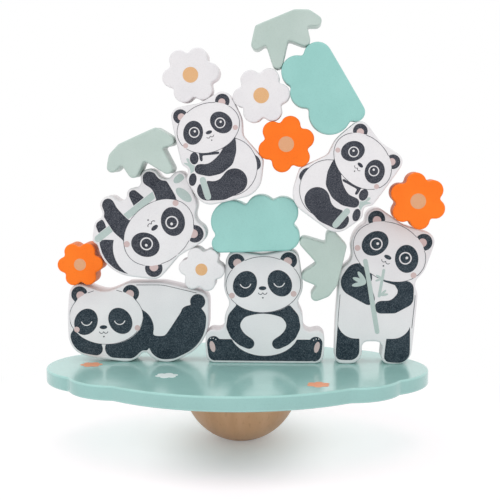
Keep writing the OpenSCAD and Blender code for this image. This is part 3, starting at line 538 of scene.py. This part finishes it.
def printed_ink(name, colour, speck, amount, roughness=0.45):
    """Ink of one colour with lighter specks. amount is how far the specks show, from 0 to 1."""
    material, tree, shader, place = start_material(name, roughness, shine=0.15)
    slow = noise(tree, place, 120, 3)
    c, s = np.array(linear(*colour)), np.array(linear(*speck))
    mid = tuple((c + 0.25 * amount * (s - c)).tolist())
    body = ramp(tree, slow, [(0.35, tuple(c.tolist())), (0.7, mid)])
    salt = noise(tree, place, SALT_SCALE, 2, roughness=0.7)
    mask = ramp(tree, salt, [(SALT_RISE[0], (0, 0, 0, 1)),
                             (SALT_RISE[1], (amount, amount, amount, 1))])
    tree.links.new(blend_colours(tree, mask, body, tuple(s.tolist())), shader.inputs["Base Color"])
    bump(tree, shader, salt, 0.2, 0.00005)
    return material


# %% [markdown]
# ## Beech
# The half ball is bare, waxed beech. Beech has a straight, quiet grain, with slow bands of
# slightly darker wood and a great many short brown flecks. Both are noises stretched along the
# grain, which stands upright here: one coarse for the bands, one fine for the flecks.

# %% The wood
def bare_beech(name):
    """Bands from a noise drawn out along Z, flecks from a finer one, and a soft pore bump.
    A scale under 1 along an axis draws the noise out along it."""
    material, tree, shader, place = start_material(name, 0.42)
    bands = noise(tree, place, 26, 5, (3.2, 1, 0.25), 0.55)
    base = ramp(tree, bands, [(0.3, linear(198, 153, 114)), (0.5, linear(208, 164, 124)),
                              (0.72, linear(217, 175, 136))])
    flecks = noise(tree, place, 420, 2, (1.2, 1, 0.12), 0.5)
    mask = ramp(tree, flecks, [(0.6, (0, 0, 0, 1)), (0.72, (0.4, 0.4, 0.4, 1))])
    tree.links.new(blend_colours(tree, mask, base, linear(178, 132, 94)), shader.inputs["Base Color"])
    bump(tree, shader, flecks, 0.25, 0.0001)
    return material


# %% [markdown]
# ## A finish for each piece
# The pieces share a few paints and inks. The colours are the ones that a screen shows, from 0 to
# 255, and each finish has a lighter and a darker shade. The board's top is painted a little
# lighter and its edge darker, and the edges of the orange blocks darker and duller: painted
# light and painted shade. The edges of the white blocks are a little pinker than their faces.
# There are two copies of the dark ink. On the lower blocks it is painted darker and bluer, a
# painted shade with a painted reflection of the mint board. On the upper pandas it is painted
# lighter, for the light that falls there.

# %% Mix the finishes
GRAIN_UPRIGHT = (0.15, 1, 1)
finishes = {
    "board": painted_wood("mint gloss paint", (161, 208, 202), (155, 202, 196), 0.22, 0.3),
    # The board's top is painted a little lighter and its edge darker: painted light and painted shade.
    "board edge": painted_wood("mint gloss paint with painted shade on the edge", (150, 196, 191),
                               (144, 190, 185), 0.22, 0.3),
    "white": painted_wood("white satin paint", (231, 231, 232), (224, 224, 226), 0.38, 0.15,
                          GRAIN_UPRIGHT),
    "white edge": painted_wood("white satin paint on a sawn edge", (234, 228, 229),
                               (228, 221, 223), 0.45, 0.1),
    "mint": painted_wood("mint satin paint", (152, 208, 201), (143, 200, 193), 0.38, 0.15,
                         GRAIN_UPRIGHT),
    "sage": painted_wood("sage satin paint", (186, 204, 197), (177, 197, 189), 0.38, 0.15,
                         GRAIN_UPRIGHT),
    "orange": painted_wood("orange satin paint", (255, 126, 30), (251, 118, 24), 0.45, 0.0,
                           GRAIN_UPRIGHT, 0.2),
    # The orange edge is painted darker and duller than the face: a painted shade.
    "orange edge": painted_wood("orange satin paint with painted shade on the edge", (224, 122, 66),
                                (216, 114, 58), 0.5, 0.0, GRAIN_UPRIGHT, 0.2),
    # One ink in two copies: painted darker and bluer low down for shade and the board's reflection,
    # lighter up high.
    "ink low in painted shade": printed_ink("dark ink", (16, 34, 45), (104, 116, 124), 0.5),
    "ink high in painted light": printed_ink("dark ink painted lighter on the upper pandas", (38, 42, 52), (118, 122, 130), 0.52),
    "blush": printed_ink("pink ink", (203, 181, 179), (214, 198, 196), 0.5),
    "bamboo": printed_ink("bamboo green ink", (176, 194, 190), (198, 211, 207), 0.5),
    "tan": printed_ink("tan ink", (221, 174, 122), (230, 192, 152), 0.5),
    "tan on orange": printed_ink("tan ink on orange", (218, 162, 120), (228, 176, 140), 0.5),
    "orange print": printed_ink("orange ink", (232, 154, 116), (236, 172, 140), 0.6),
    "white print": printed_ink("white ink", (224, 236, 235), (212, 226, 223), 0.5),
    "beech": bare_beech("waxed beech"),
}
print("finishes:", len(finishes))


# %% Choose a finish for each piece
def finish_of(node):
    """(finish, record slot) for a node, from its name."""
    # high picks the copy of the ink that is painted lighter for the upper pandas' light.
    high = "climbing" in node or "upside" in node
    rules = [("board_orange", "orange print", "orange_paint"),
             ("board_white", "white print", "white_paint"),
             ("board", "board", "board_paint"),
             ("half_ball", "beech", "bare_beech"),
             ("dowel", "beech", "bare_beech"),
             ("_ink", "ink high in painted light" if high else "ink low in painted shade", "dark_print"),
             ("_blush", "blush", "pink_print"),
             ("_bamboo", "bamboo", "bamboo_print")]
    for part, finish, slot in rules:
        if part in node:
            return finish, slot
    if node in prints:
        return ("tan on orange" if node.startswith("orange") else "tan"), "tan_print"
    for part, finish, slot in (("leaves", "sage", "sage_paint"), ("cloud", "mint", "mint_paint"),
                               ("orange", "orange", "orange_paint")):
        if node.startswith(part):
            return finish, slot
    return "white", "white_paint"


for node, piece in finished.items():
    finish, slot = finish_of(node)
    piece.data.materials.append(finishes[finish])
    # The wall's material: a painted shade on the board and orange edges, a pinker white on white
    # blocks.
    piece.data.materials.append(finishes.get(finish + " edge", finishes[finish]))
bare = [node for node in nodes if node not in finished]
for node in bare:
    nodes[node].data.materials.clear()
    nodes[node].data.materials.append(finishes[finish_of(node)[0]])
print(len(finished), "pieces finished; shown as the solid is:", bare)

# %% [markdown]
# ## Floor and sky
# The photograph is a plain product picture: white all round, with a soft shadow under the board.
# The floor takes the shadow. Where the camera, or a glossy reflection, looks at it, a little of
# its own light is added, so that the lit floor is white. That light grows from the half ball
# outwards and falls again where the board's shadow ends, which leaves the shadow soft and wide.
# Well away from the toy the floor fades to plain white, so no edge shows between floor and sky.
# Light that comes off the wood and off the mint board would tint the shadow, so the floor's paint
# leans a little the other way: to blue near the half ball, and to pink under the board.

# %% Steps for the floor's looks
def looked_at(tree):
    """1 for rays from the camera or from a glossy or clear surface, and 0 for all others."""
    path = tree.nodes.new("ShaderNodeLightPath")
    seen = path.outputs["Is Camera Ray"]
    for ray in ("Is Glossy Ray", "Is Transmission Ray"):
        seen = maths(tree, "MAXIMUM", seen, path.outputs[ray])
    return seen


def maths(tree, operation, *values):
    """One arithmetic step on sockets or fixed numbers."""
    node = tree.nodes.new("ShaderNodeMath")
    node.operation = operation
    for socket, value in zip(node.inputs, values):
        if isinstance(value, float):
            socket.default_value = value
        else:
            tree.links.new(value, socket)
    return node.outputs[0]


def fade(tree, value, start_end, low_high):
    """A smooth step from low to high while the value goes from start to end."""
    node = tree.nodes.new("ShaderNodeMapRange")
    node.interpolation_type = "SMOOTHSTEP"
    for key, number in zip(("From Min", "From Max", "To Min", "To Max"), start_end + low_high):
        node.inputs[key].default_value = number
    tree.links.new(value, node.inputs["Value"])
    return node.outputs["Result"]


def distance(tree, place, scale=(1, 1, 1), move=(0, 0, 0)):
    """How far a point is from the origin, once scaled and moved."""
    mapping = tree.nodes.new("ShaderNodeMapping")
    mapping.inputs["Scale"].default_value, mapping.inputs["Location"].default_value = scale, move
    length = tree.nodes.new("ShaderNodeVectorMath")
    length.operation = "LENGTH"
    tree.links.new(place, mapping.inputs["Vector"])
    tree.links.new(mapping.outputs["Vector"], length.inputs[0])
    return length.outputs["Value"]


# %% Floor and sky
SHADOW_REACH = (0.08, 0.26)
NEUTRAL_REACH = (0.01, 0.07)
GLOW_REACH = (0.0, 0.065)
GLOW_NEAR, GLOW_FAR = 0.14, 0.52
GLOW_ENDS, GLOW_LEFT = (0.075, 0.15), 0.4
FLOOR_BY_THE_BALL = (0.80, 0.86, 0.90, 1)
FLOOR_BY_THE_BOARD = (0.895, 0.83, 0.85, 1)
SKY_LIGHT = 0.85
FLOOR_HALF = 6.0
floor_mesh = bpy.data.meshes.new("floor")
floor_mesh.from_pydata([(x * FLOOR_HALF, y * FLOOR_HALF, 0)
                        for x, y in ((-1, -1), (1, -1), (1, 1), (-1, 1))], [], [(0, 1, 2, 3)])
floor = bpy.data.objects.new("floor", floor_mesh)
bpy.context.scene.collection.objects.link(floor)
floor_paint, tree, shader, place = start_material("studio floor", 0.9, shine=0.1)
paint = blend_colours(tree, fade(tree, distance(tree, place), NEUTRAL_REACH, (0, 1)),
                      FLOOR_BY_THE_BALL, FLOOR_BY_THE_BOARD)
tree.links.new(paint, shader.inputs["Base Color"])
seen = looked_at(tree)
glow = tree.nodes.new("ShaderNodeEmission")
growing = fade(tree, distance(tree, place, (1, 0.45, 0), (0, 0.014, 0)), GLOW_REACH,
               (GLOW_NEAR, GLOW_FAR))
ending = fade(tree, distance(tree, place, (1, 1.5, 0)), GLOW_ENDS, (1, GLOW_LEFT))
tree.links.new(maths(tree, "MULTIPLY", seen, maths(tree, "MULTIPLY", growing, ending)),
               glow.inputs["Strength"])
lit = tree.nodes.new("ShaderNodeAddShader")
tree.links.new(shader.outputs[0], lit.inputs[0])
tree.links.new(glow.outputs[0], lit.inputs[1])
white = tree.nodes.new("ShaderNodeEmission")
gone = fade(tree, distance(tree, place), SHADOW_REACH, (0, 1))
both = tree.nodes.new("ShaderNodeMixShader")
tree.links.new(maths(tree, "MULTIPLY", seen, gone), both.inputs[0])
tree.links.new(lit.outputs[0], both.inputs[1])
tree.links.new(white.outputs[0], both.inputs[2])
tree.links.new(both.outputs[0], tree.nodes["Material Output"].inputs["Surface"])
floor.data.materials.append(floor_paint)

world = bpy.data.worlds.new("studio")
bpy.context.scene.world = world
world.use_nodes = True
tree = world.node_tree
sky = tree.nodes["Background"]
sky.inputs["Color"].default_value = (1, 1, 1, 1)
tree.links.new(fade(tree, looked_at(tree), (0, 1), (SKY_LIGHT, 1)), sky.inputs["Strength"])
print("floor", 2 * FLOOR_HALF, "m wide, plain white from", SHADOW_REACH[1], "m out")

# %% [markdown]
# ## Lamps
# A large lamp overhead makes the soft shadow: the larger it is, the wider the shadow's edge. Two
# weak ones in front brighten the printed faces, and a small low one reaches the half ball under
# the board. They all stand far off for the toy's size, so that the top of the pile isn't much
# lighter than its foot.

# %% Lamps
def soft_lamp(name, place, aim, size, watts):
    """A square area lamp at place that looks at aim, both in metres."""
    lamp = bpy.data.lights.new(name, "AREA")
    lamp.size, lamp.energy = size, watts
    holder = bpy.data.objects.new(name, lamp)
    holder.location = place
    holder.rotation_euler = (Vector(aim) - Vector(place)).to_track_quat("-Z", "Y").to_euler()
    bpy.context.scene.collection.objects.link(holder)


middle = (Vector(cad_box[0]) + Vector(cad_box[1])) / 2
soft_lamp("overhead", middle + Vector((-0.3, -0.2, 2.2)), middle, 3.0, 21)
soft_lamp("front left", middle + Vector((-1.5, -2.0, 0.6)), middle, 1.4, 3.2)
soft_lamp("front right", middle + Vector((1.6, -1.9, 0.3)), middle, 1.4, 2.6)
soft_lamp("low fill", Vector((-0.1, -0.9, 0.05)), Vector((0, 0, 0.02)), 0.3, 0.4)

# %% [markdown]
# ## Camera
# The camera's place was worked out from the photograph: the board's length and depth, the half
# ball and the middles of the blocks fix where it stood. It looks slightly down and to the left,
# with a lens that is long enough for the blocks to keep their shapes.

# %% Camera
CAMERA_MM = (35.3, -688.1, 193.0)
FOCAL_PIXELS = 1069.5
PHOTO_PIXELS = 500
YAW, PITCH = 2.44, 5.75
lens = bpy.data.cameras.new("camera")
lens.sensor_width = 36
lens.lens = FOCAL_PIXELS / PHOTO_PIXELS * lens.sensor_width
camera = bpy.data.objects.new("camera", lens)
camera.location = Vector(CAMERA_MM) * MM
camera.rotation_euler = (math.radians(90 - PITCH), 0, math.radians(YAW))
bpy.context.scene.collection.objects.link(camera)
bpy.context.scene.camera = camera
bpy.context.scene.view_settings.view_transform = "Standard"
print("camera at", CAMERA_MM, "mm, lens", round(lens.lens, 1), "mm")
